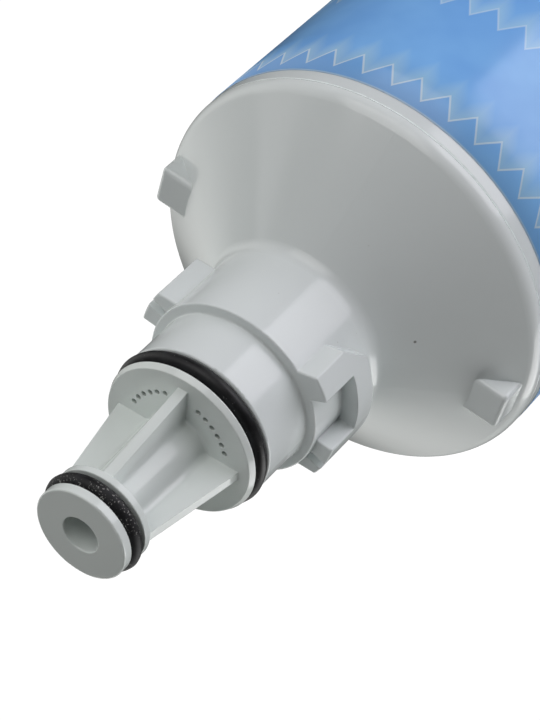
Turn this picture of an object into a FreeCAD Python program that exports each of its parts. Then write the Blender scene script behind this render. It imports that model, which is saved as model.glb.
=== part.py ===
import FreeCAD, Part
import math
import os

# Twist-in water filter cartridge, in millimetres. +Z runs up the cartridge to the nozzle tip,
# the base stands on Z = 0, and the two shoulder tabs lie on +X and -X.

# Overall
TIP_Z = 245.0
BODY_R = 37.1
BODY_WALL = 2.6
SEAM_Z = 169.8
SEAM_EDGE = 0.25              # rounded edges that make the groove at the seam
SHOULDER_Z = 171.6            # height at which the dome's slope would meet the body's side
SHOULDER_FILLET = 3.3
DOME_ROOT_Z = 188.2           # height at which it would meet the collar
DOME_ROOT_FILLET = 3.0
CAVITY_TOP_Z = 187.8          # the slope inside, a 2.6 wall away
CAVITY_FOOT_Z = 171.9

# Head cap: neck, collar, bayonet lugs and shoulder tabs
NECK_R = 14.3
NECK_TOP_Z = 215.4
COLLAR_R = 16.1
COLLAR_TOP_Z = 205.2
NECK_BORE_R = 12.35
SPIGOT_LENGTH = 6.5
SPIGOT_WALL = 2.1
LUG_R = 19.2
LUG_ANGLES = (0.0, 180.0)
LUG_BACK_TOP_Z = 197.5
LUG_EDGE = 0.35
LUG_SIDE_INSIDE = 3.0         # how far a lug's side is drawn into the collar
LUG_SIDE_REACH = 25.0         # and outward, past everything it has to cut
HOOK_EDGES = (33.0, 47.0)     # degrees at the lug radius
HOOK_ROOT = 53.0              # degrees where its sloping side meets the collar
STOP_EDGES = (-23.5, -0.5)
STOP_ROOT = -30.0
STOP_TOP_Z = 203.9
NOTCH_ANGLE = -14.8
NOTCH_WIDTH = 1.8
NOTCH_DEPTH = (1.0, 3.2)      # at the collar, and past the outer face
BACK_LOW_Z = 193.2            # the lug's rear face, free of the dome
BACK_ROOT = 40.0              # where it ends towards the hook, whose far corner is thinner
BACK_EDGE = 36.0
TAB_R = 35.5
TAB_WIDTH = 8.0
TAB_TOP_Z = 177.8
TAB_EDGE = 0.9
TAB_ANGLES = (0.0, 180.0)

# Body shell and base
FLOOR_THICKNESS = 4.0
BASE_CORNER = 4.0
FOOT_R = (25.0, 31.0)
FOOT_HEIGHT = 1.2
SPRING_BOSS_R = 12.4
SPRING_BOSS_HEIGHT = 4.0

# Label
LABEL_Z = (14.0, 167.2)
LABEL_THICKNESS = 0.1
LABEL_GAP_ANGLE = 5.0
LABEL_GAP_CENTRE = 270.0

# Nozzle insert
BORE_R = 3.3
TIP_R = 8.4
TIP_THICKNESS = 1.8
TIP_GROOVE_WIDTH = 3.1
TIP_GROOVE_R = 6.45
FLANGE_R = 8.6
FLANGE_THICKNESS = 1.4
TUBE_R = (4.9, 5.5)           # under the flange, and at the inlet disc
RIB_THICKNESS = 1.8
RIB_R = (8.2, 11.7)           # under the flange, and at the inlet disc
RIB_FIRST_ANGLE = 7.5
RIB_FILLET = 1.4
INLET_DISC_TOP_Z = 220.0
INLET_DISC_BACK_Z = 218.7
INLET_DISC_R = (13.65, 14.25)
INLET_CEILING_Z = 218.4
NECK_GROOVE_R = 12.0
SKIRT_BORE_R = 11.0
SKIRT_END_Z = 201.0
HOLE_R = 0.475
HOLE_CIRCLE_R = 9.25
HOLE_FIRST_ANGLE = 27.5
HOLE_PITCH = 10.0
HOLES_PER_GROUP = 6
QUARTERS = 4
CHAMBER_R = 4.4
CHAMBER_Z = (203.0, 222.0)
SOCKET_R = 7.6
SOCKET_BORE_R = 5.9
SOCKET_END_Z = 184.0
SOCKET_SHOULDER_Z = (204.0, 206.0)

# O-rings: (section radius, centre-line radius, height)
TIP_RING = (1.3, 7.8, 241.8)
NECK_RING = (1.3, 13.35, 216.75)
STEM_RING = (0.85, 5.05, 193.0)

# Inlet valve
VALVE_GAP = 0.05
INLET_RING_R = (5.6, 10.4)
INLET_RING_THICKNESS = 1.2
CLIP_R = 8.6
CLIP_Z = (207.5, 209.0)
CLIP_NOTCH_WIDTH = 1.6
INLET_SPRING_R = 7.2
INLET_SPRING_WIRE_R = 0.35
INLET_SPRING_TURNS = 4

# Outlet valve
SEAT_TOP_Z = 205.5
SEAT_HOLE_R = 2.2
SEAT_CONE_R = 3.0
POPPET_HEAD_R = 3.5
POPPET_HEAD_Z = (206.6, 208.1)
POPPET_PIN_R = 1.1
POPPET_FOOT_R = 1.7
POPPET_FOOT_Z = (204.4, 205.55)
POPPET_FIN_R = 4.33
POPPET_FIN_THICKNESS = 1.0
POPPET_BOSS_R = 3.0
POPPET_BOSS_HEIGHT = 2.0
SEAL_R = 3.3
OUTLET_SPRING_R = 3.75
OUTLET_SPRING_WIRE_R = 0.3
OUTLET_SPRING_TURNS = 7

# Filter block and its end caps
BLOCK_Z = (24.8, 146.2)
BLOCK_R = 29.6
BLOCK_BORE_R = 8.2
GLUE_THICKNESS = 0.8
WRAP_R = 30.0
NETTING_R = 30.35
NETTING_STRAND = 0.7
NETTING_HOOPS = 13
NETTING_STRANDS = 24
CORE_R = (6.6, 8.0)
CORE_HOLE_R = 1.4
CORE_HOLE_ROWS = 12
CORE_HOLES_ACROSS = 3
CAP_THICKNESS = 3.0
CAP_R = 31.6
CAP_SKIRT_BORE_R = 30.4
CAP_SKIRT_HEIGHT = 5.0
STEM_R = 5.8
STEM_BORE_R = 3.0
STEM_FOOT_R = 9.0
STEM_FOOT_HEIGHT = 8.0
STEM_TOP_Z = 200.0
STEM_GROOVE_R = 4.2
STEM_GROOVE_WIDTH = 2.0
FIN_R = 34.2
FIN_THICKNESS = 2.0
BASE_SPRING_R = 14.2
BASE_SPRING_WIRE_R = 1.0
BASE_SPRING_TURNS = 4

AXIS = FreeCAD.Vector(0, 0, 1)
ORIGIN = FreeCAD.Vector(0, 0, 0)


def polar(radius, degrees, z=0.0):
    angle = math.radians(degrees)
    return FreeCAD.Vector(radius * math.cos(angle), radius * math.sin(angle), z)


def corner_arc(before, corner, after, radius):
    """The two tangent points and the middle of the arc that rounds a corner."""
    to_before = (before - corner).normalize()
    to_after = (after - corner).normalize()
    half = to_before.getAngle(to_after) / 2
    bisector = (to_before + to_after).normalize()
    reach = radius / math.tan(half)
    middle = corner + bisector * (radius / math.sin(half) - radius)
    return corner + to_before * reach, middle, corner + to_after * reach


def rounded_outline(corners):
    """Closed wire in the XZ plane through (r, z) or (r, z, corner radius) entries."""
    points = [FreeCAD.Vector(entry[0], 0, entry[1]) for entry in corners]
    radii = [entry[2] if len(entry) > 2 else 0.0 for entry in corners]
    count = len(points)
    arcs = []
    for i in range(count):
        if radii[i] > 0:
            arcs.append(corner_arc(points[i - 1], points[i], points[(i + 1) % count], radii[i]))
        else:
            arcs.append((points[i], None, points[i]))
    edges = []
    for i in range(count):
        start, middle, end = arcs[i]
        if middle is not None:
            edges.append(Part.Arc(start, middle, end).toShape())
        next_start = arcs[(i + 1) % count][0]
        edges.append(Part.makeLine(end, next_start))
    return Part.Wire(edges)


def turned(corners):
    """Solid of revolution about Z of a rounded outline."""
    return Part.Face(rounded_outline(corners)).revolve(ORIGIN, AXIS, 360)


def ring(inner, outer, low, high):
    return turned([(inner, low), (outer, low), (outer, high), (inner, high)])


def o_ring(section, radius, z):
    return Part.makeTorus(radius, section, FreeCAD.Vector(0, 0, z), AXIS)


def disc(radius, low, high):
    return Part.makeCylinder(radius, high - low, FreeCAD.Vector(0, 0, low), AXIS)


def radial_plate(outline, thickness, degrees):
    """Plate standing on edge: (r, z) outline, centred on the half plane at this angle."""
    points = [FreeCAD.Vector(r, -thickness / 2, z) for r, z in outline]
    plate = Part.Face(Part.makePolygon(points + points[:1])).extrude(FreeCAD.Vector(0, thickness, 0))
    plate.rotate(ORIGIN, AXIS, degrees)
    return plate


def coil(radius, wire_radius, turns, low, high):
    """Round-wire spring whose wire just fits between two heights, swept half a turn at a time."""
    start = low + wire_radius
    rise = (high - low - 2 * wire_radius) / turns
    halves = []
    for k in range(2 * turns):
        half = Part.makeHelix(rise, rise / 2, radius)
        half.rotate(ORIGIN, AXIS, 180 * k)
        half.translate(FreeCAD.Vector(0, 0, start + rise / 2 * k))
        halves += half.Edges
    slope = math.atan2(rise, 2 * math.pi * radius)
    along = FreeCAD.Vector(0, math.cos(slope), math.sin(slope))
    section = Part.Wire(Part.makeCircle(wire_radius, FreeCAD.Vector(radius, 0, start), along))
    return Part.Wire(halves).makePipeShell([section], True, True)


def lug_outline(roots, edges, outer, z):
    """Plan of a lug at one height; each side runs from a root angle to an outer angle."""
    sides = []
    for root, edge in zip(roots, edges):
        foot = polar(COLLAR_R, root, z)
        along = (polar(outer, edge, z) - foot).normalize()
        sides.append((foot - along * LUG_SIDE_INSIDE, foot + along * LUG_SIDE_REACH))
    corners = [sides[0][0], sides[0][1], sides[1][1], sides[1][0]]
    return Part.makePolygon(corners + corners[:1])


def lug_block(roots, edges, low, high):
    outline = lug_outline(roots, edges, LUG_R, low)
    block = Part.Face(outline).extrude(FreeCAD.Vector(0, 0, high - low))
    return block.common(disc(LUG_R, low, high))


def softened(block, radius):
    """The block with its front and outer edges rounded, before it joins the head."""
    top = block.BoundBox.ZMax
    edges = []
    for edge in block.Edges:
        inner = min(math.hypot(vertex.X, vertex.Y) for vertex in edge.Vertexes)
        outer = max(math.hypot(vertex.X, vertex.Y) for vertex in edge.Vertexes)
        in_front = edge.BoundBox.ZMin > top - 0.01 and outer > COLLAR_R + 0.5
        outside = inner > LUG_R - 0.01 and edge.BoundBox.ZLength > 1.0
        if in_front or outside:
            edges.append(edge)
    return block.makeFillet(radius, edges)


def lug_back():
    """Plate behind the pocket that carries hook and stop; its end under the hook slants away."""
    plans = [lug_outline((STOP_ROOT, HOOK_ROOT), (STOP_EDGES[0], HOOK_EDGES[1]), LUG_R, LUG_BACK_TOP_Z),
             lug_outline((STOP_ROOT, BACK_ROOT), (STOP_EDGES[0], BACK_EDGE), LUG_R, BACK_LOW_Z)]
    return Part.makeLoft(plans, True, True).common(disc(LUG_R, BACK_LOW_Z, LUG_BACK_TOP_Z))


def bayonet_lug():
    """Hook, pocket and stop in one lug, pointing at +X."""
    hook = lug_block((HOOK_EDGES[0], HOOK_ROOT), HOOK_EDGES, LUG_BACK_TOP_Z, COLLAR_TOP_Z)
    stop = lug_block((STOP_ROOT, STOP_EDGES[1]), STOP_EDGES, LUG_BACK_TOP_Z, STOP_TOP_Z)
    notch = radial_plate(
        [(COLLAR_R, STOP_TOP_Z + 1), (COLLAR_R, STOP_TOP_Z - NOTCH_DEPTH[0]),
         (LUG_R + 1, STOP_TOP_Z - NOTCH_DEPTH[1]), (LUG_R + 1, STOP_TOP_Z + 1)],
        NOTCH_WIDTH, NOTCH_ANGLE)
    return lug_back().fuse([softened(hook, LUG_EDGE), softened(stop, LUG_EDGE).cut(notch)])


def shoulder_tab():
    """Rounded block on the shoulder of the dome, pointing at +X."""
    inner = TAB_R - 9.0
    foot = SHOULDER_Z + 0.6
    tab = Part.makeBox(TAB_R - inner, TAB_WIDTH, TAB_TOP_Z - foot,
                       FreeCAD.Vector(inner, -TAB_WIDTH / 2, foot))
    rounded = [edge for edge in tab.Edges
               if edge.BoundBox.XMax > TAB_R - 0.1 and edge.BoundBox.ZMax > TAB_TOP_Z - 0.1]
    return tab.makeFillet(TAB_EDGE, rounded)


def head_outside():
    return turned([
        (0, NECK_TOP_Z), (NECK_R, NECK_TOP_Z, 0.4), (NECK_R, COLLAR_TOP_Z, 0.3),
        (COLLAR_R, COLLAR_TOP_Z, 0.25), (COLLAR_R, DOME_ROOT_Z, DOME_ROOT_FILLET),
        (BODY_R, SHOULDER_Z, SHOULDER_FILLET), (BODY_R, SEAM_Z, SEAM_EDGE), (0, SEAM_Z)])


def head_cavity():
    spigot_bore = BODY_R - BODY_WALL - SPIGOT_WALL
    return turned([
        (0, NECK_TOP_Z + 1), (NECK_BORE_R, NECK_TOP_Z + 1), (NECK_BORE_R, CAVITY_TOP_Z, 1.0),
        (spigot_bore, CAVITY_FOOT_Z, 0.8),
        (spigot_bore, SEAM_Z - SPIGOT_LENGTH - 1), (0, SEAM_Z - SPIGOT_LENGTH - 1)])


def head_cap():
    head = head_outside()
    additions = []
    for angle in LUG_ANGLES:
        lug = bayonet_lug()
        lug.rotate(ORIGIN, AXIS, angle)
        additions.append(lug)
    for angle in TAB_ANGLES:
        tab = shoulder_tab()
        tab.rotate(ORIGIN, AXIS, angle)
        additions.append(tab)
    additions.append(disc(BODY_R - BODY_WALL, SEAM_Z - SPIGOT_LENGTH, SEAM_Z))
    return head.fuse(additions).cut(head_cavity()).removeSplitter()


def body_shell():
    inner = BODY_R - BODY_WALL
    shell = turned([
        (0, FOOT_HEIGHT), (FOOT_R[0], FOOT_HEIGHT, 0.5), (FOOT_R[0], 0, 0.3),
        (FOOT_R[1], 0, 0.3), (BODY_R, BASE_CORNER, 3.0), (BODY_R, SEAM_Z, SEAM_EDGE),
        (inner, SEAM_Z), (inner, FLOOR_THICKNESS + 2, 2.0), (FOOT_R[1], FLOOR_THICKNESS, 1.0),
        (0, FLOOR_THICKNESS)])
    boss = disc(SPRING_BOSS_R, FLOOR_THICKNESS - 1, FLOOR_THICKNESS + SPRING_BOSS_HEIGHT)
    return shell.fuse(boss).removeSplitter()


def label():
    wrap = ring(BODY_R, BODY_R + LABEL_THICKNESS, LABEL_Z[0], LABEL_Z[1])
    width = 2 * BODY_R * math.sin(math.radians(LABEL_GAP_ANGLE / 2))
    gap = radial_plate([(BODY_R - 5, LABEL_Z[0] - 1), (BODY_R + 5, LABEL_Z[0] - 1),
                        (BODY_R + 5, LABEL_Z[1] + 1), (BODY_R - 5, LABEL_Z[1] + 1)],
                       width, LABEL_GAP_CENTRE)
    return wrap.cut(gap)


def nozzle_body():
    """Tip disc, flange, tube, inlet disc, skirt and socket, turned in one piece."""
    tip_back = TIP_Z - TIP_THICKNESS
    flange_top = tip_back - TIP_GROOVE_WIDTH
    flange_back = flange_top - FLANGE_THICKNESS
    return turned([
        (BORE_R, TIP_Z, 0.2), (TIP_R, TIP_Z, 0.3), (TIP_R, tip_back, 0.15),
        (TIP_GROOVE_R, tip_back), (TIP_GROOVE_R, flange_top),
        (FLANGE_R, flange_top, 0.15), (FLANGE_R, flange_back, 0.3),
        (TUBE_R[0], flange_back, 0.6), (TUBE_R[1], INLET_DISC_TOP_Z, 0.5),
        (INLET_DISC_R[0], INLET_DISC_TOP_Z, 0.15), (INLET_DISC_R[1], INLET_DISC_BACK_Z, 0.2),
        (NECK_GROOVE_R, INLET_DISC_BACK_Z), (NECK_GROOVE_R, NECK_TOP_Z),
        (NECK_BORE_R, NECK_TOP_Z), (NECK_BORE_R, SKIRT_END_Z),
        (SKIRT_BORE_R, SKIRT_END_Z), (SKIRT_BORE_R, INLET_CEILING_Z),
        (TUBE_R[1], INLET_CEILING_Z), (TUBE_R[1], SOCKET_SHOULDER_Z[1]),
        (SOCKET_R, SOCKET_SHOULDER_Z[0]), (SOCKET_R, SOCKET_END_Z),
        (SOCKET_BORE_R, SOCKET_END_Z), (SOCKET_BORE_R, CHAMBER_Z[0]),
        (CHAMBER_R, CHAMBER_Z[0]), (CHAMBER_R, CHAMBER_Z[1]), (BORE_R, CHAMBER_Z[1])])


def ribbed_tube():
    """Tapered tube and its four ribs between flange and inlet disc, rounded where they meet."""
    low = INLET_DISC_TOP_Z - 0.5
    high = TIP_Z - TIP_THICKNESS - TIP_GROOVE_WIDTH - FLANGE_THICKNESS / 2
    core = Part.makeCone(TUBE_R[1], TUBE_R[0], high - low, FreeCAD.Vector(0, 0, low), AXIS)
    outline = [(0.5, low), (RIB_R[1], low), (RIB_R[0], high), (0.5, high)]
    for quarter in range(QUARTERS):
        core = core.fuse(radial_plate(outline, RIB_THICKNESS, RIB_FIRST_ANGLE + 90 * quarter))
    core = core.removeSplitter()
    roots = []
    for edge in core.Edges:
        radii = [math.hypot(vertex.X, vertex.Y) for vertex in edge.Vertexes]
        if edge.BoundBox.ZLength > 10 and min(radii) > TUBE_R[0] - 0.1 and max(radii) < TUBE_R[1] + 0.1:
            roots.append(edge)
    return core.makeFillet(RIB_FILLET, roots).cut(disc(CHAMBER_R + 0.2, low - 1, high + 1))


def inlet_holes():
    holes = []
    for quarter in range(QUARTERS):
        for k in range(HOLES_PER_GROUP):
            angle = HOLE_FIRST_ANGLE + k * HOLE_PITCH + quarter * 90
            foot = polar(HOLE_CIRCLE_R, angle, INLET_CEILING_Z - 0.5)
            holes.append(Part.makeCylinder(HOLE_R, INLET_DISC_TOP_Z - INLET_CEILING_Z + 1, foot, AXIS))
    return holes


def nozzle_insert():
    return nozzle_body().fuse(ribbed_tube()).cut(inlet_holes()).removeSplitter()


def inlet_ring_low_z():
    return INLET_CEILING_Z - VALVE_GAP - INLET_RING_THICKNESS


def inlet_valve_ring():
    low = inlet_ring_low_z()
    high = low + INLET_RING_THICKNESS
    return turned([(INLET_RING_R[0], low, 0.2), (INLET_RING_R[1], low, 0.3),
                   (INLET_RING_R[1], high, 0.1), (INLET_RING_R[0], high)])


def inlet_spring():
    return coil(INLET_SPRING_R, INLET_SPRING_WIRE_R, INLET_SPRING_TURNS, CLIP_Z[1], inlet_ring_low_z())


def spring_clip():
    """Push-on ring with notches in its rim to let water by."""
    clip = ring(TUBE_R[1], CLIP_R, CLIP_Z[0], CLIP_Z[1])
    notch = [(CLIP_R - 1.2, CLIP_Z[0] - 1), (CLIP_R + 1, CLIP_Z[0] - 1),
             (CLIP_R + 1, CLIP_Z[1] + 1), (CLIP_R - 1.2, CLIP_Z[1] + 1)]
    notches = [radial_plate(notch, CLIP_NOTCH_WIDTH, 30 + 60 * k) for k in range(6)]
    return clip.cut(notches)


def outlet_seat():
    cone_foot = SEAT_TOP_Z - (SEAT_CONE_R - SEAT_HOLE_R)
    return turned([(SEAT_HOLE_R, CHAMBER_Z[0]), (CHAMBER_R, CHAMBER_Z[0]), (CHAMBER_R, SEAT_TOP_Z),
                   (SEAT_CONE_R, SEAT_TOP_Z), (SEAT_HOLE_R, cone_foot)])


def outlet_poppet():
    body = turned([
        (0, POPPET_FOOT_Z[0]), (POPPET_FOOT_R, POPPET_FOOT_Z[0], 0.3),
        (POPPET_FOOT_R, POPPET_FOOT_Z[1]), (POPPET_PIN_R, POPPET_FOOT_Z[1]),
        (POPPET_PIN_R, POPPET_HEAD_Z[0]), (POPPET_HEAD_R, POPPET_HEAD_Z[0]),
        (POPPET_HEAD_R, POPPET_HEAD_Z[1], 0.2), (POPPET_BOSS_R, POPPET_HEAD_Z[1]),
        (POPPET_BOSS_R, POPPET_HEAD_Z[1] + POPPET_BOSS_HEIGHT, 0.5),
        (0, POPPET_HEAD_Z[1] + POPPET_BOSS_HEIGHT)])
    fin = [(1.5, POPPET_HEAD_Z[0]), (POPPET_FIN_R, POPPET_HEAD_Z[0]),
           (POPPET_FIN_R, POPPET_HEAD_Z[1]), (1.5, POPPET_HEAD_Z[1])]
    fins = [radial_plate(fin, POPPET_FIN_THICKNESS, 45 + 90 * quarter) for quarter in range(QUARTERS)]
    return body.fuse(fins).removeSplitter()


def poppet_seal():
    return ring(POPPET_PIN_R, SEAL_R, POPPET_FOOT_Z[1], POPPET_HEAD_Z[0])


def outlet_spring():
    return coil(OUTLET_SPRING_R, OUTLET_SPRING_WIRE_R, OUTLET_SPRING_TURNS,
                POPPET_HEAD_Z[1], CHAMBER_Z[1])


def top_end_cap():
    low = BLOCK_Z[1] + GLUE_THICKNESS
    high = low + CAP_THICKNESS
    ring_z = STEM_RING[2]
    return turned([
        (STEM_BORE_R, low), (CAP_SKIRT_BORE_R, low), (CAP_SKIRT_BORE_R, low - CAP_SKIRT_HEIGHT),
        (CAP_R, low - CAP_SKIRT_HEIGHT), (CAP_R, high, 1.0), (STEM_FOOT_R, high, 2.0),
        (STEM_R, high + STEM_FOOT_HEIGHT), (STEM_R, ring_z - STEM_GROOVE_WIDTH / 2),
        (STEM_GROOVE_R, ring_z - STEM_GROOVE_WIDTH / 2), (STEM_GROOVE_R, ring_z + STEM_GROOVE_WIDTH / 2),
        (STEM_R, ring_z + STEM_GROOVE_WIDTH / 2), (STEM_R, STEM_TOP_Z, 0.6), (STEM_BORE_R, STEM_TOP_Z)])


def bottom_end_cap():
    high = BLOCK_Z[0] - GLUE_THICKNESS
    low = high - CAP_THICKNESS
    cap = turned([
        (0, low - SPRING_BOSS_HEIGHT), (SPRING_BOSS_R, low - SPRING_BOSS_HEIGHT, 0.5),
        (SPRING_BOSS_R, low), (CAP_R, low, 1.0), (CAP_R, high + CAP_SKIRT_HEIGHT),
        (CAP_SKIRT_BORE_R, high + CAP_SKIRT_HEIGHT), (CAP_SKIRT_BORE_R, high), (0, high)])
    fin = [(CAP_R - 0.6, low + 1), (FIN_R, low + 2), (FIN_R, high + CAP_SKIRT_HEIGHT - 1),
           (CAP_R - 0.6, high + CAP_SKIRT_HEIGHT)]
    fins = [radial_plate(fin, FIN_THICKNESS, 45 * k) for k in range(8)]
    return cap.fuse(fins).removeSplitter()


def outer_netting():
    low = BLOCK_Z[0] - GLUE_THICKNESS + CAP_SKIRT_HEIGHT + 0.5
    high = BLOCK_Z[1] + GLUE_THICKNESS - CAP_SKIRT_HEIGHT - 0.5
    pitch = (high - low - NETTING_STRAND) / (NETTING_HOOPS - 1)
    hoops = [ring(WRAP_R, NETTING_R, low + k * pitch, low + k * pitch + NETTING_STRAND)
             for k in range(NETTING_HOOPS)]
    sleeve = ring(WRAP_R, NETTING_R, low, high)
    strand = [(WRAP_R - 1, low), (NETTING_R + 1, low), (NETTING_R + 1, high), (WRAP_R - 1, high)]
    blanks = [radial_plate(strand, NETTING_STRAND, k * 360 / NETTING_STRANDS)
              for k in range(NETTING_STRANDS)]
    strands = sleeve.common(Part.makeCompound(blanks))
    return hoops[0].fuse(hoops[1:] + strands.Solids).removeSplitter()


def core_tube():
    tube = ring(CORE_R[0], CORE_R[1], BLOCK_Z[0], BLOCK_Z[1])
    pitch = (BLOCK_Z[1] - BLOCK_Z[0]) / CORE_HOLE_ROWS
    drills = []
    for row in range(CORE_HOLE_ROWS):
        z = BLOCK_Z[0] + (row + 0.5) * pitch
        for k in range(CORE_HOLES_ACROSS):
            angle = 180 * k / CORE_HOLES_ACROSS + (30 if row % 2 else 0)
            start = polar(CORE_R[1] + 2, angle, z)
            drills.append(Part.makeCylinder(CORE_HOLE_R, 2 * CORE_R[1] + 4, start, polar(-1, angle)))
    return tube.cut(drills)


def pieces():
    floor = FLOOR_THICKNESS
    cap_low = BLOCK_Z[0] - GLUE_THICKNESS - CAP_THICKNESS
    return {
        "head_cap": head_cap(),
        "body_shell": body_shell(),
        "label": label(),
        "nozzle_insert": nozzle_insert(),
        "tip_o_ring": o_ring(*TIP_RING),
        "neck_o_ring": o_ring(*NECK_RING),
        "inlet_valve_ring": inlet_valve_ring(),
        "inlet_spring": inlet_spring(),
        "spring_clip": spring_clip(),
        "outlet_seat": outlet_seat(),
        "outlet_poppet": outlet_poppet(),
        "poppet_seal": poppet_seal(),
        "outlet_spring": outlet_spring(),
        "top_end_cap": top_end_cap(),
        "stem_o_ring": o_ring(*STEM_RING),
        "top_glue_ring": ring(BLOCK_BORE_R, BLOCK_R, BLOCK_Z[1], BLOCK_Z[1] + GLUE_THICKNESS),
        "carbon_block": ring(BLOCK_BORE_R, BLOCK_R, BLOCK_Z[0], BLOCK_Z[1]),
        "prefilter_wrap": ring(BLOCK_R, WRAP_R, BLOCK_Z[0], BLOCK_Z[1]),
        "outer_netting": outer_netting(),
        "post_filter_sleeve": ring(CORE_R[1], BLOCK_BORE_R, BLOCK_Z[0], BLOCK_Z[1]),
        "core_tube": core_tube(),
        "bottom_glue_ring": ring(BLOCK_BORE_R, BLOCK_R, BLOCK_Z[0] - GLUE_THICKNESS, BLOCK_Z[0]),
        "bottom_end_cap": bottom_end_cap(),
        "base_spring": coil(BASE_SPRING_R, BASE_SPRING_WIRE_R, BASE_SPRING_TURNS, floor, cap_low),
    }


os.makedirs("parts", exist_ok=True)
for name, shape in pieces().items():
    shape.exportStep("parts/" + name + ".step")
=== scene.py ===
import math

import bmesh
import bpy
from mathutils import Euler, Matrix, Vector


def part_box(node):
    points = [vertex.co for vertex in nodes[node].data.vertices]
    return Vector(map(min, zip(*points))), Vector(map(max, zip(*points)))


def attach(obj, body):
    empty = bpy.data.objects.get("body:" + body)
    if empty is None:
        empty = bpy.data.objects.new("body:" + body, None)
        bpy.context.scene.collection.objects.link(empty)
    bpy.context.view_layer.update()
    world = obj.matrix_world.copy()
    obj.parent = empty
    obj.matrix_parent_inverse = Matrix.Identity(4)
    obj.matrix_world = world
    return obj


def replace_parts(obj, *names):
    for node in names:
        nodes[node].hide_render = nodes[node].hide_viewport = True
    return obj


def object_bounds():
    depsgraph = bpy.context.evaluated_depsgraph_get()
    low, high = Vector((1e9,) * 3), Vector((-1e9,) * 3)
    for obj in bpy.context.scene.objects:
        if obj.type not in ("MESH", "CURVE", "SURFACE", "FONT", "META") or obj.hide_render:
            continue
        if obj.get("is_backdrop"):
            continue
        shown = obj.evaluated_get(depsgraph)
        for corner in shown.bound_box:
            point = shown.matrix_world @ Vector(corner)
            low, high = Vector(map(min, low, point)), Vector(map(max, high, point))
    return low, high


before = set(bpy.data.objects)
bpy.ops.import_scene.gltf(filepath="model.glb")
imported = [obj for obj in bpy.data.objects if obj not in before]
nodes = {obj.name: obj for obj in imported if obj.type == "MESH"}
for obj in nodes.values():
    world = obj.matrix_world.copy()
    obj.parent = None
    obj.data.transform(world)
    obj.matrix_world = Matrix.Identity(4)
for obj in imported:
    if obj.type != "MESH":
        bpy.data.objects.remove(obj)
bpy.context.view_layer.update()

# The camera looks down at the nozzle from the +Y side, rolled so that the nozzle points down left.
CAMERA_PLACE = (0.10388537, 0.31648342, 0.45584352)
CAMERA_TURN = (-41.7087, 34.4347, 14.3940)
CAMERA_LENS = 130

# Studio light: a pale surround at the height of the part, dark towards the camera, a key and a side softbox,
# and three smaller fills.
# Directions are (bearing, height) in degrees in the row frame, sizes are metres, light is radiance.
SURROUND_LIGHT = 1.2
SURROUND_DIM = 0.03
SURROUND_TINT = (1.0, 1.0, 0.97, 1)
SURROUND_EDGES = (0.0, 0.6)
DARK_SIDE = (72, 48)
DARK_EDGES = (-0.4, 0.4)
SOFTBOXES = {
    "key_softbox": {"aim": (66, -36), "size": (0.62, 0.90), "light": 2.42, "tint": (1.02, 1.0, 1.06)},
    "side_softbox": {"aim": (112, 24), "size": (0.62, 0.75), "light": 1.85, "tint": (1.01, 1.0, 0.99)},
    "right_fill": {"aim": (-30, -10), "size": (0.5, 0.5), "light": 3.2, "tint": (1.0, 1.0, 1.0)},
    "left_fill": {"aim": (162, 18), "size": (0.5, 0.5), "light": 0.8, "tint": (1.0, 1.0, 1.0)},
    "top_fill": {"aim": (250, 60), "size": (0.6, 0.6), "light": 0.6, "tint": (1.0, 1.0, 1.0)},
}
SOFTBOX_DISTANCE = 0.8
TARGET = Vector((0, 0, 0.2))
FLOOR_LIGHT = 1.05
STAGE_R = 4.0

BODY_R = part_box("body_shell")[1][0]
SEAM_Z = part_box("body_shell")[1][2]
SEAM_SIDE = 0.0006              # the seam's groove, this far above and below it, glows weakly,
SEAM_GLOW = 0.28                # because the bare groove looks darker than the seam should
HOLE_RING_R = 0.00925           # ring of inlet holes, whose walls get a painted shade: darker and greener further inside
HOLE_R = 0.00055
HOLE_TOP_Z = 0.220              # front of the inlet disc
HOLE_PAINTED_SHADE = (0.16, 0.18, 0.13, 1)
SPECK = (0.01918, 0.00999, 0.18383)
SPECK_R = (0.00014, 0.00034)    # dark inside the first, faded out at the second
LABEL_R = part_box("label")[1][0]
LABEL_FILM = 0.00008
LABEL_GAP = (270, 5)            # middle and width of the gap where its ends meet, in degrees
LABEL_CORNER = 0.004
CREST_LENGTH = 0.0055           # zigzag line printed round the label
CREST_HEIGHT = 0.0047
CREST_PHASE = 0.0024
CREST_FOOT_Z = 0.1601
CREST_DROP = 0.024              # a second, fainter zigzag runs this far below the first
WAVES = ((0.112, 0.10), (0.082, 0.22), (0.052, 0.36), (0.028, 0.5))     # height, and how pale it is below
WAVE_HEIGHT = 0.007
WAVE_COUNT = 4

RING_STEPS = 240
RING_SIDES = 36
FLASH = 0.03                    # height of the rubber rings' flash line, as a share of the section
FLASH_WIDTH = 5                 # degrees round the section
SAG = 0.012                     # how uneven the rings are, as a share of the section
LABEL_STEPS = 320
LABEL_ROWS = 12
CORNER_STEPS = 8

WHITE = (0.785, 0.83, 0.83, 1)
BODY_WHITE = (0.705, 0.75, 0.755, 1)
NOZZLE_WHITE = (0.785, 0.835, 0.815, 1)


def direction(bearing, height):
    bearing, height = math.radians(bearing), math.radians(height)
    return Vector((math.cos(height) * math.cos(bearing), math.cos(height) * math.sin(bearing),
                   math.sin(height)))


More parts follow.
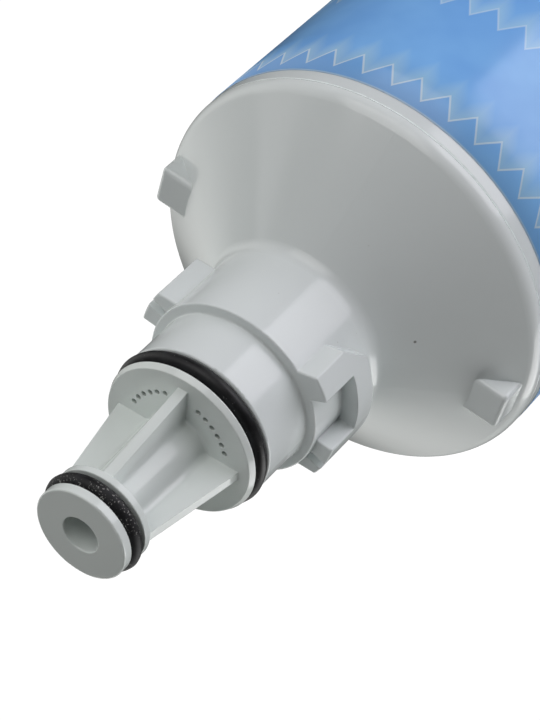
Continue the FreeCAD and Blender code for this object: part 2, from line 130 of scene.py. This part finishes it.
class Material:
    """Node tree of one material, with short calls to add nodes and link them."""

    def __init__(self, name):
        self.material = bpy.data.materials.new(name)
        self.material.use_nodes = True
        self.tree = self.material.node_tree
        self.tree.nodes.clear()
        output = self.tree.nodes.new("ShaderNodeOutputMaterial")
        self.shader = self.tree.nodes.new("ShaderNodeBsdfPrincipled")
        self.tree.links.new(self.shader.outputs["BSDF"], output.inputs["Surface"])
        self.place = self.add("ShaderNodeTexCoord").outputs["Object"]

    def add(self, kind, links=None, **settings):
        node = self.tree.nodes.new(kind)
        for name, value in settings.items():
            setattr(node, name, value)
        for socket, source in (links or {}).items():
            self.put(node, socket, source)
        return node

    def put(self, node, socket, source):
        if isinstance(source, bpy.types.NodeSocket):
            self.tree.links.new(source, node.inputs[socket])
        else:
            node.inputs[socket].default_value = source

    def sum(self, operation, *values):
        node = self.add("ShaderNodeMath", dict(enumerate(values)), operation=operation)
        return node.outputs[0]

    def noise(self, scale, detail=2.0, rough=0.5, place=None):
        node = self.add("ShaderNodeTexNoise", {
            "Vector": place or self.place, "Scale": scale, "Detail": detail, "Roughness": rough})
        return node.outputs["Fac"]

    def ramp(self, value, low, high, start, end, smooth=True):
        node = self.add("ShaderNodeMapRange", {
            "Value": value, "From Min": low, "From Max": high, "To Min": start, "To Max": end},
            interpolation_type="SMOOTHSTEP" if smooth else "LINEAR")
        return node.outputs["Result"]

    def mix(self, share, first, second):
        node = self.add("ShaderNodeMix", data_type="RGBA")
        self.put(node, 0, share)
        self.put(node, 6, first)
        self.put(node, 7, second)
        return node.outputs[2]

    def bump(self, height, distance, strength=1.0, normal=None):
        links = {"Height": height, "Distance": distance, "Strength": strength}
        if normal is not None:
            links["Normal"] = normal
        return self.add("ShaderNodeBump", links).outputs["Normal"]

    def soft_edges(self, radius):
        return self.add("ShaderNodeBevel", {"Radius": radius}, samples=6).outputs["Normal"]

    def finish(self, **sockets):
        for name, value in sockets.items():
            self.put(self.shader, name.replace("_", " "), value)
        return self.material


def moulded_plastic(name, color, roughness, edge=0.00025, mould_line=False, holes=False):
    m = Material(name)
    cloud = m.noise(28, 3)
    specks = m.ramp(m.noise(900, 1), 0.80, 0.86, 0, 1)
    tint = tuple(c * 0.965 for c in color[:3]) + (1,)
    base = m.mix(m.ramp(cloud, 0.3, 0.7, 0, 1), tint, color)
    base = m.mix(m.sum("MULTIPLY", specks, 0.35), base, (0.35, 0.34, 0.31, 1))
    far = m.add("ShaderNodeVectorMath", {0: m.place, 1: SPECK}, operation="DISTANCE").outputs["Value"]
    base = m.mix(m.ramp(far, *SPECK_R, 0.75, 0), base, (0.10, 0.10, 0.09, 1))
    rough = m.ramp(m.noise(60, 4), 0.3, 0.7, roughness * 0.85, roughness * 1.15)
    normal = m.soft_edges(edge)
    normal = m.bump(m.noise(1600, 2), 0.00001, 0.25, normal)
    normal = m.bump(m.noise(90, 2), 0.0002, 0.06, normal)
    split = m.add("ShaderNodeSeparateXYZ", {"Vector": m.place})
    out = m.add("ShaderNodeCombineXYZ", {"X": split.outputs["X"], "Y": split.outputs["Y"]}).outputs[0]
    out = m.add("ShaderNodeVectorMath", {0: out}, operation="LENGTH").outputs["Value"]
    level = m.sum("ABSOLUTE", m.sum("SUBTRACT", split.outputs["Z"], SEAM_Z))
    if holes:
        # painted shade: the hole walls darken and turn greener from the disc's front downwards, where shade
        # falls
        ring = m.ramp(m.sum("ABSOLUTE", m.sum("SUBTRACT", out, HOLE_RING_R)), HOLE_R, HOLE_R * 1.4, 1, 0)
        deep = m.ramp(split.outputs["Z"], HOLE_TOP_Z - 0.0012, HOLE_TOP_Z - 0.0001, 0.75, 0)
        base = m.mix(m.sum("MULTIPLY", ring, deep), base, HOLE_PAINTED_SHADE)
    groove = m.sum("MULTIPLY", m.ramp(out, BODY_R - 0.0001, BODY_R - 0.00002, 1, 0),
                   m.ramp(level, SEAM_SIDE * 0.5, SEAM_SIDE, 1, 0))
    glow = m.sum("MULTIPLY", groove, SEAM_GLOW)
    if mould_line:
        line = m.ramp(m.sum("ABSOLUTE", split.outputs["X"]), 0.00006, 0.0002, 1, 0)
        dome = m.ramp(split.outputs["Z"], 0.184, 0.188, 1, 0)
        normal = m.bump(m.sum("MULTIPLY", line, dome), 0.00003, 0.5, normal)
    return m.finish(Base_Color=base, Roughness=rough, Normal=normal, IOR=1.5,
                    Emission_Color=color, Emission_Strength=glow)


def black_rubber(name, dusty):
    m = Material(name)
    grain = m.noise(2500, 2)
    smear = m.noise(220, 4, 0.7)
    base = m.mix(m.ramp(smear, 0.4, 0.75, 0, 1), (0.008, 0.008, 0.009, 1), (0.022, 0.023, 0.025, 1))
    least = 0.61 if dusty else 0.72
    dust = m.ramp(m.noise(2600, 1, 0.5), least, least + 0.06, 0, 1)
    dust = m.sum("MULTIPLY", dust, m.ramp(m.noise(160, 2), 0.42, 0.56, 0, 1))
    base = m.mix(m.sum("MULTIPLY", dust, 0.5 if dusty else 0.35), base, (0.45, 0.45, 0.43, 1))
    rough = m.ramp(smear, 0.3, 0.7, 0.42 if dusty else 0.34, 0.62 if dusty else 0.5)
    normal = m.bump(grain, 0.00002, 0.4)
    normal = m.bump(m.noise(300, 3), 0.0001, 0.25, normal)
    return m.finish(Base_Color=base, Roughness=rough, Normal=normal, IOR=1.5, Specular_IOR_Level=0.3)


def simple_material(name, dark, light, roughness, scale, depth, metallic=0.0):
    m = Material(name)
    grain = m.noise(scale, 4, 0.6)
    base = m.mix(m.ramp(grain, 0.3, 0.7, 0, 1), dark, light)
    rough = m.ramp(m.noise(scale * 0.4, 3), 0.3, 0.7, roughness * 0.8, roughness * 1.2)
    return m.finish(Base_Color=base, Roughness=rough, Metallic=metallic,
                    Normal=m.bump(grain, depth, 0.6))


def label_film():
    """Blue print of soft waves and fine crest lines, no lettering; a pale strip along the top and bottom
    edges is a painted highlight of the film's edge.
    """
    m = Material("label_film")
    part = m.add("ShaderNodeSeparateXYZ", {"Vector": m.place}).outputs
    around = m.sum("MULTIPLY", m.sum("ARCTAN2", part["Y"], part["X"]), LABEL_R)
    up = part["Z"]

    def wave(length, height, phase):
        """Triangle wave round the label: sharp crests of this height."""
        turn = m.sum("FRACT", m.sum("DIVIDE", m.sum("ADD", around, phase), length))
        saw = m.sum("ABSOLUTE", m.sum("SUBTRACT", turn, 0.5))
        return m.sum("MULTIPLY", saw, 2 * height)

    def above(level, edge):
        return m.ramp(m.sum("SUBTRACT", up, level), -edge, edge, 0, 1)

    def line(level, half):
        return m.ramp(m.sum("ABSOLUTE", m.sum("SUBTRACT", up, level)), half * 0.6, half, 1, 0)

    count = round(2 * math.pi * LABEL_R / CREST_LENGTH)
    crest = wave(2 * math.pi * LABEL_R / count, CREST_HEIGHT, CREST_PHASE)
    swell = m.sum("MULTIPLY", m.sum("SINE", m.sum("MULTIPLY", around, WAVE_COUNT / LABEL_R)),
                  WAVE_HEIGHT)
    drift = m.ramp(m.noise(45, 3, 0.6), 0.3, 0.7, 0, 1)
    base = m.mix(drift, (0.19, 0.44, 0.88, 1), (0.25, 0.54, 0.96, 1))
    for i, (foot, light) in enumerate(WAVES):
        level = m.sum("ADD", m.sum("MULTIPLY", swell, 1 if i % 2 else -1), foot)
        band = m.sum("SUBTRACT", 1.0, above(level, 0.0002))
        base = m.mix(m.sum("MULTIPLY", band, light), base, (0.42, 0.66, 0.82, 1))
        base = m.mix(m.sum("MULTIPLY", line(level, 0.0005), 0.6), base, (0.72, 0.86, 0.94, 1))
    for foot, strength in ((CREST_FOOT_Z, 0.75), (CREST_FOOT_Z - CREST_DROP, 0.4)):
        level = m.sum("ADD", crest, foot)
        inside = m.sum("SUBTRACT", 1.0, above(level, 0.0003))
        fade = m.ramp(m.sum("SUBTRACT", level, up), 0, 0.006, 0.5, 0, smooth=False)
        base = m.mix(m.sum("MULTIPLY", inside, fade), base, (0.50, 0.74, 0.86, 1))
        base = m.mix(m.sum("MULTIPLY", line(level, 0.0004), strength), base, (0.70, 0.83, 0.95, 1))
    low, high = (corner[2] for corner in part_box("label"))
    # painted highlight: a pale strip along the top and bottom edges, where the film's cut edge catches the
    # light
    margin = m.sum("MINIMUM", m.sum("SUBTRACT", up, low), m.sum("SUBTRACT", high, up))
    base = m.mix(m.ramp(margin, 0.00015, 0.0005, 0.6, 0), base, (0.62, 0.78, 0.92, 1))
    grain = m.noise(900, 2)
    return m.finish(Base_Color=base, Roughness=m.ramp(m.noise(50), 0.3, 0.7, 0.16, 0.26),
                    Normal=m.bump(grain, 0.00001, 0.3), IOR=1.48)


def paint(material, *names):
    for name in names:
        slots = nodes[name].data.materials
        slots.clear()
        slots.append(material)


white = moulded_plastic("white_plastic", WHITE, 0.15, edge=0.0003, mould_line=True)
nozzle = moulded_plastic("nozzle_plastic", NOZZLE_WHITE, 0.14, edge=0.0002, holes=True)
paint(white, "head_cap")
paint(moulded_plastic("body_plastic", BODY_WHITE, 0.17), "body_shell")
paint(nozzle, "nozzle_insert")
paint(black_rubber("stem_rubber", False), "stem_o_ring")
paint(simple_material("valve_rubber", (0.02, 0.02, 0.02, 1), (0.05, 0.05, 0.05, 1), 0.5, 900, 0.00002),
      "inlet_valve_ring", "poppet_seal")
paint(simple_material("inner_plastic", (0.60, 0.61, 0.58, 1), (0.72, 0.73, 0.70, 1), 0.4, 60, 0.00002),
      "spring_clip", "outlet_seat", "outlet_poppet", "top_end_cap", "bottom_end_cap", "core_tube")
paint(simple_material("spring_steel", (0.50, 0.50, 0.50, 1), (0.66, 0.66, 0.65, 1), 0.25, 700, 0.00001, 1.0),
      "inlet_spring", "outlet_spring", "base_spring")
paint(simple_material("carbon", (0.010, 0.010, 0.010, 1), (0.035, 0.035, 0.035, 1), 0.8, 1500, 0.0004),
      "carbon_block")
paint(simple_material("fleece", (0.72, 0.72, 0.70, 1), (0.85, 0.85, 0.83, 1), 0.9, 1200, 0.0003),
      "prefilter_wrap", "post_filter_sleeve")
paint(simple_material("netting", (0.78, 0.79, 0.78, 1), (0.86, 0.87, 0.86, 1), 0.45, 300, 0.00003),
      "outer_netting")
paint(simple_material("hot_melt", (0.74, 0.70, 0.58, 1), (0.84, 0.81, 0.70, 1), 0.35, 120, 0.0002),
      "top_glue_ring", "bottom_glue_ring")


def new_object(name, b, material):
    mesh = bpy.data.meshes.new(name)
    b.to_mesh(mesh)
    b.free()
    mesh.materials.append(material)
    piece = bpy.data.objects.new(name, mesh)
    bpy.context.scene.collection.objects.link(piece)
    return piece


def new_piece(name, b, material):
    piece = new_object(name, b, material)
    piece.data.shade_smooth()
    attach(piece, "cartridge")
    return piece


def rubber_ring(name, node, material):
    """O-ring with a fine flash line round its outside, slightly uneven as if seated by hand."""
    low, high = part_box(node)
    section = (high[2] - low[2]) / 2
    radius = high[0] - section
    middle = (high[2] + low[2]) / 2
    b = bmesh.new()
    loops = []
    for i in range(RING_STEPS):
        turn = 2 * math.pi * i / RING_STEPS
        sag = 1 - SAG * (1 + math.sin(3 * turn + 1)) / 2
        loop = []
        for k in range(RING_SIDES):
            tilt = 2 * math.pi * k / RING_SIDES
            flash = FLASH * math.exp(-(math.degrees(math.remainder(tilt, math.tau)) / FLASH_WIDTH) ** 2)
            reach = section * sag * (1 - FLASH) + section * flash
            out = radius + reach * math.cos(tilt)
            loop.append(b.verts.new((out * math.cos(turn), out * math.sin(turn),
                                     middle + reach * math.sin(tilt))))
        loops.append(loop)
    for i in range(RING_STEPS):
        this, after = loops[i], loops[(i + 1) % RING_STEPS]
        for k in range(RING_SIDES):
            m = (k + 1) % RING_SIDES
            b.faces.new((this[k], after[k], after[m], this[m]))
    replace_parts(new_piece(name, b, material), node)


def label_wrap():
    """Film round the body with rounded corners where its two ends nearly meet."""
    low, high = (corner[2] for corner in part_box("label"))
    start = math.radians(LABEL_GAP[0] + LABEL_GAP[1] / 2)
    sweep = math.radians(360 - LABEL_GAP[1])
    bow = LABEL_CORNER / LABEL_R
    turns = [bow * (1 - math.cos(math.pi / 2 * i / CORNER_STEPS)) for i in range(CORNER_STEPS + 1)]
    turns += [bow + (sweep - 2 * bow) * i / LABEL_STEPS for i in range(1, LABEL_STEPS)]
    turns += [sweep - turn for turn in reversed(turns[:CORNER_STEPS + 1])]
    b = bmesh.new()
    columns = []
    for turn in turns:
        inset = max(0.0, LABEL_CORNER - min(turn, sweep - turn) * LABEL_R)
        cut = LABEL_CORNER - math.sqrt(LABEL_CORNER ** 2 - inset ** 2)
        angle = start + turn
        column = []
        for k in range(LABEL_ROWS + 1):
            z = low + cut + (high - low - 2 * cut) * k / LABEL_ROWS
            column.append(b.verts.new((LABEL_R * math.cos(angle), LABEL_R * math.sin(angle), z)))
        columns.append(column)
    for this, after in zip(columns, columns[1:]):
        for k in range(LABEL_ROWS):
            b.faces.new((this[k], after[k], after[k + 1], this[k + 1]))
    piece = new_piece("label_wrap", b, label_film())
    film = piece.modifiers.new("film", "SOLIDIFY")
    film.thickness = LABEL_FILM
    film.offset = -1
    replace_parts(piece, "label")


rubber_ring("tip_ring", "tip_o_ring", black_rubber("tip_rubber", True))
rubber_ring("neck_ring", "neck_o_ring", black_rubber("neck_rubber", False))
label_wrap()


def stage_piece(name, b):
    """Plain pale floor or backdrop: self-lit, takes no shadow, and is seen by the camera only."""
    material = bpy.data.materials.new(name)
    material.use_nodes = True
    tree = material.node_tree
    tree.nodes.clear()
    output = tree.nodes.new("ShaderNodeOutputMaterial")
    glow = tree.nodes.new("ShaderNodeEmission")
    glow.inputs["Color"].default_value = (1, 1, 1, 1)
    glow.inputs["Strength"].default_value = FLOOR_LIGHT
    tree.links.new(glow.outputs[0], output.inputs["Surface"])
    piece = new_object(name, b, material)
    for seen in ("shadow", "diffuse", "glossy", "transmission"):
        setattr(piece, "visible_" + seen, False)
    piece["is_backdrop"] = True
    return piece


def stage():
    b = bmesh.new()
    b.faces.new([b.verts.new((x, y, 0)) for x, y in ((-3, -3), (3, -3), (3, 3), (-3, 3))])
    stage_piece("floor", b).location.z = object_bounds()[0][2] - 0.0001
    b = bmesh.new()
    bmesh.ops.create_uvsphere(b, u_segments=48, v_segments=24, radius=STAGE_R)
    stage_piece("backdrop", b)


def surround():
    world = bpy.data.worlds.new("studio")
    bpy.context.scene.world = world
    world.use_nodes = True
    tree = world.node_tree
    tree.nodes.clear()

    def add(kind, links, **settings):
        node = tree.nodes.new(kind)
        for name, value in settings.items():
            setattr(node, name, value)
        for socket, source in links.items():
            if isinstance(source, bpy.types.NodeSocket):
                tree.links.new(source, node.inputs[socket])
            else:
                node.inputs[socket].default_value = source
        return node

    def fall(value, edges, start, end):
        return add("ShaderNodeMapRange", {"Value": value, "From Min": edges[0], "From Max": edges[1],
                                          "To Min": start, "To Max": end},
                   interpolation_type="SMOOTHSTEP").outputs["Result"]

    way = add("ShaderNodeTexCoord", {}).outputs["Generated"]
    height = add("ShaderNodeSeparateXYZ", {"Vector": way}).outputs["Z"]
    level = add("ShaderNodeMath", {0: height}, operation="ABSOLUTE").outputs[0]
    side = add("ShaderNodeVectorMath", {0: way, 1: direction(*DARK_SIDE)},
               operation="DOT_PRODUCT").outputs["Value"]
    light = add("ShaderNodeMath", {0: fall(level, SURROUND_EDGES, SURROUND_LIGHT, 0),
                                   1: fall(side, DARK_EDGES, 1, 0)}, operation="MULTIPLY").outputs[0]
    light = add("ShaderNodeMath", {0: light, 1: SURROUND_DIM}, operation="MAXIMUM").outputs[0]
    background = add("ShaderNodeBackground", {"Color": SURROUND_TINT, "Strength": light})
    add("ShaderNodeOutputWorld", {"Surface": background.outputs[0]})


def softbox(name, aim, size, light, tint):
    lamp = bpy.data.lights.new(name, "AREA")
    lamp.shape = "RECTANGLE"
    lamp.size, lamp.size_y = size
    lamp.energy = math.pi * light * size[0] * size[1]
    lamp.color = tint
    piece = bpy.data.objects.new(name, lamp)
    bpy.context.scene.collection.objects.link(piece)
    way = direction(*aim)
    piece.location = TARGET + way * SOFTBOX_DISTANCE
    piece.rotation_euler = way.to_track_quat("Z", "Y").to_euler()
    piece.visible_camera = False


def camera():
    data = bpy.data.cameras.new("camera")
    data.lens = CAMERA_LENS
    data.clip_start = 0.01
    view = bpy.data.objects.new("camera", data)
    bpy.context.scene.collection.objects.link(view)
    view.location = CAMERA_PLACE
    view.rotation_euler = Euler([math.radians(a) for a in CAMERA_TURN], "XYZ")
    bpy.context.scene.camera = view


stage()
surround()
for box_name, box in SOFTBOXES.items():
    softbox(box_name, **box)
camera()
bpy.context.scene.view_settings.view_transform = "Standard"
